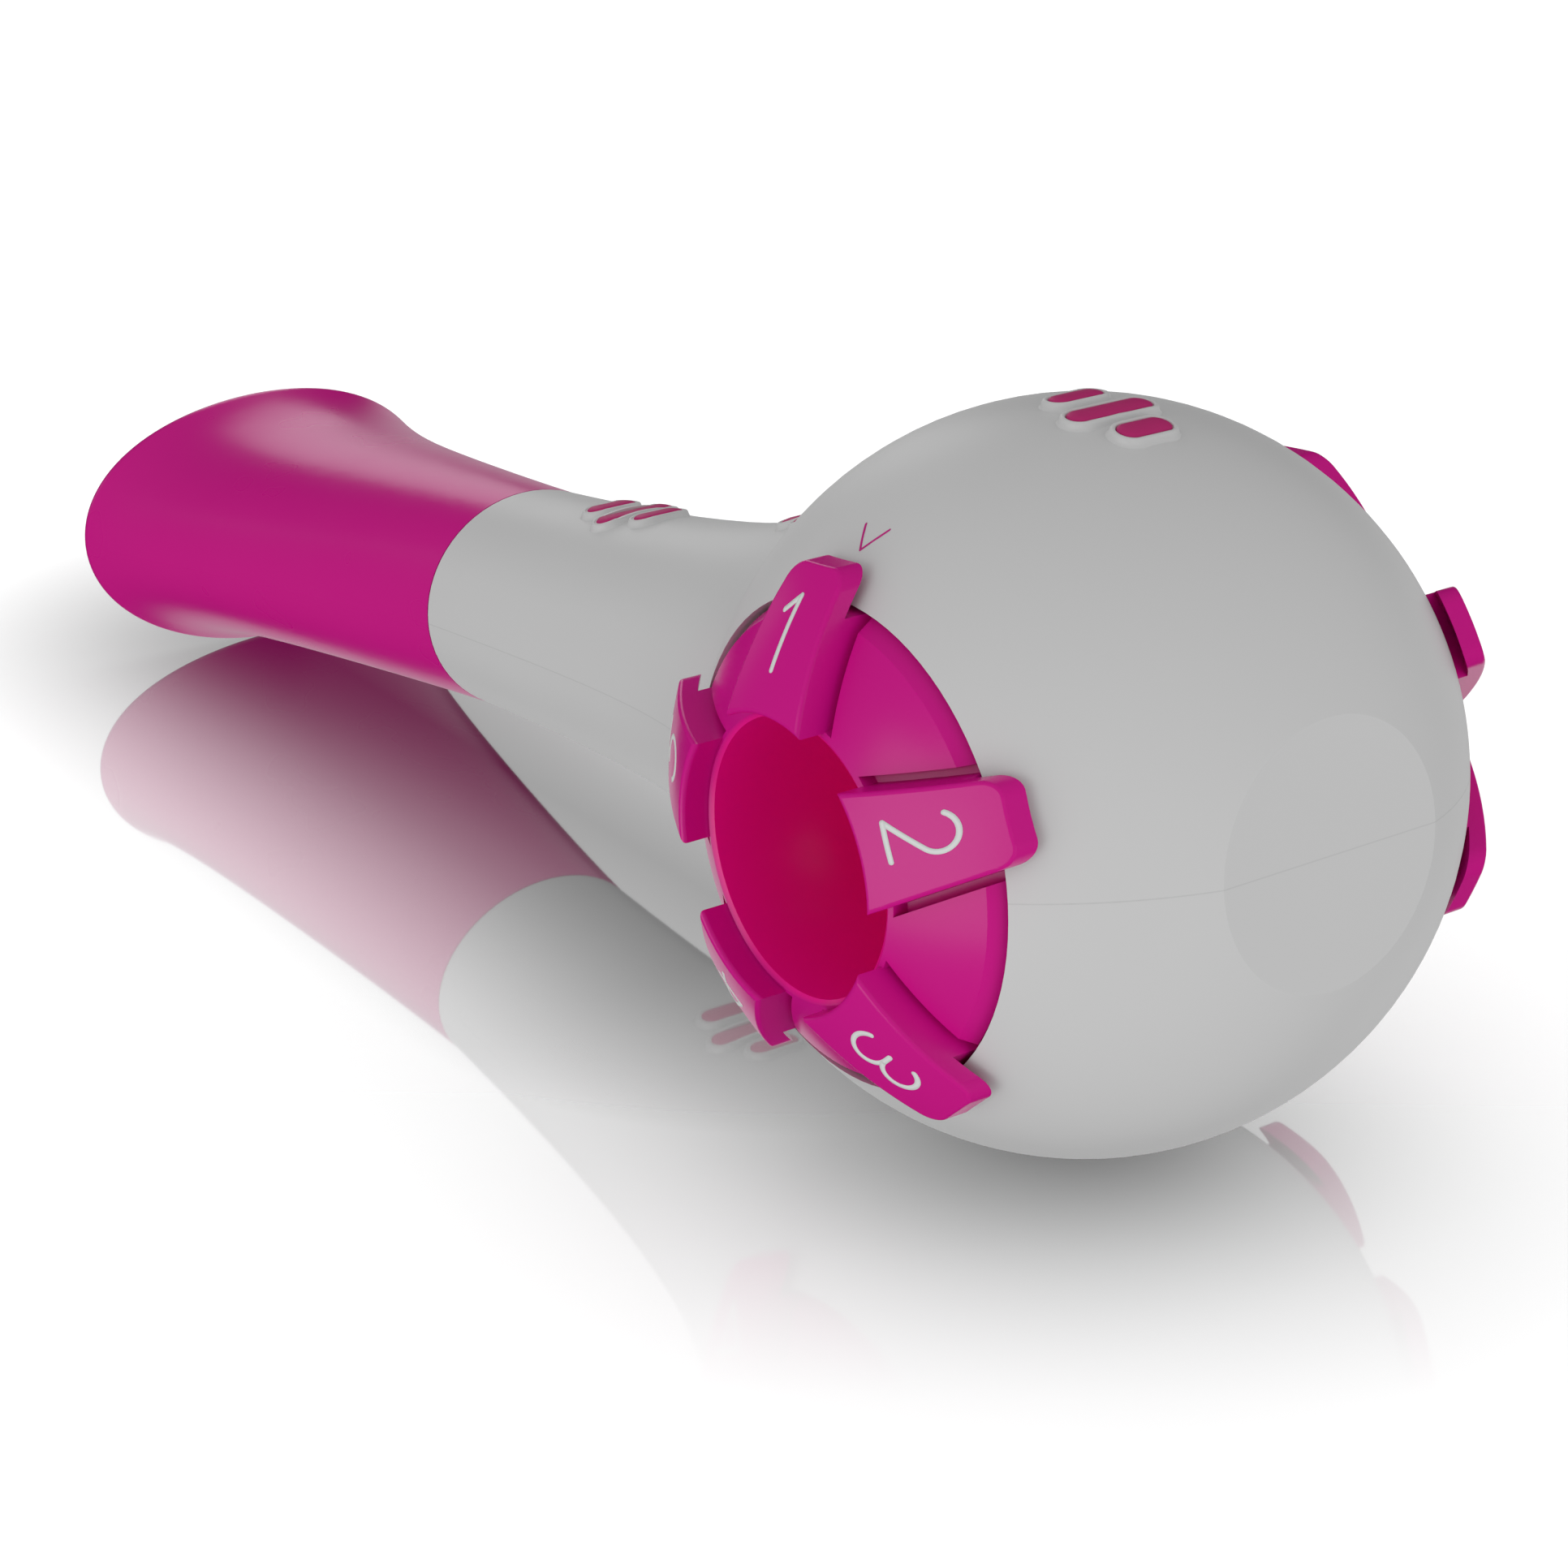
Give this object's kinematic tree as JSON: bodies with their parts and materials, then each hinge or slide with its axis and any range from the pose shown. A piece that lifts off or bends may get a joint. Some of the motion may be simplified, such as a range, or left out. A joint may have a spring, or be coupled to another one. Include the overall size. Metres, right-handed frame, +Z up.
{
  "type": "breathing trainer",
  "caption": "Hand-held breathing trainer: ball head with opposed numbered resistance dials, oval stem and flared pull-off mouthpiece, lying on its side.",
  "frame": {"origin": "on the table, under the middle of the trainer's bounding box, as it lies on ball and lip", "axes": "+X along the trainer from the ball to the mouthpiece, +Y out of the exhale dial, +Z up; the stem slopes down 7.35 degrees towards the lip"},
  "size_m": [0.1654, 0.0602, 0.0606],
  "materials": {
    "white_shell": "satin moulded white plastic",
    "dial": "glossy magenta plastic",
    "dial_cap": "glossy crimson plastic",
    "mouthpiece": "soft glossy magenta",
    "grip": "soft satin magenta",
    "inner_plastic": "plain moulded",
    "silicone": "translucent white silicone",
    "spring_steel": "rolled strip"
  },
  "bodies": {
    "housing": {"upper_shell": "white_shell", "lower_shell": "white_shell", "stem_spigot": "inner_plastic", "head_grip_pads": "grip", "neck_grip_pads": "grip", "stem_grip_pads": "grip", "underside_grip_pads": "grip", "exhale_port_cup": "inner_plastic", "exhale_dial_retainer": "dial_cap", "exhale_detent_spring": "spring_steel", "exhale_valve_cage": "inner_plastic", "inhale_port_cup": "inner_plastic", "inhale_dial_retainer": "dial_cap", "inhale_detent_spring": "spring_steel", "inhale_valve_cage": "inner_plastic"},
    "mouthpiece": {"mouthpiece": "mouthpiece"},
    "exhale_dial": {"exhale_dial": "dial"},
    "inhale_dial": {"inhale_dial": "dial"},
    "exhale_valve": {"exhale_valve_disc": "silicone"},
    "inhale_valve": {"inhale_valve_disc": "silicone"}
  },
  "joints": [
    {"name": "exhale_dial_turn", "type": "hinge", "parent": "housing", "child": "exhale_dial", "pos_m": [-0.05344, 0.0191, 0.03], "axis": [0, 1, 0], "continuous": true},
    {"name": "inhale_dial_turn", "type": "hinge", "parent": "housing", "child": "inhale_dial", "pos_m": [-0.05344, -0.0191, 0.03], "axis": [0, -1, 0], "continuous": true},
    {"name": "exhale_valve_lift", "type": "slide", "parent": "housing", "child": "exhale_valve", "axis": [0, 1, 0], "range_m": [0, 0.0012], "stiffness_N_per_m": 20},
    {"name": "inhale_valve_lift", "type": "slide", "parent": "housing", "child": "inhale_valve", "axis": [0, 1, 0], "range_m": [0, 0.0012], "stiffness_N_per_m": 20},
    {"name": "mouthpiece_pull", "type": "slide", "parent": "housing", "child": "mouthpiece", "axis": [0.9918, 0, -0.1279], "range_m": [0, 0.018]}
  ]
}
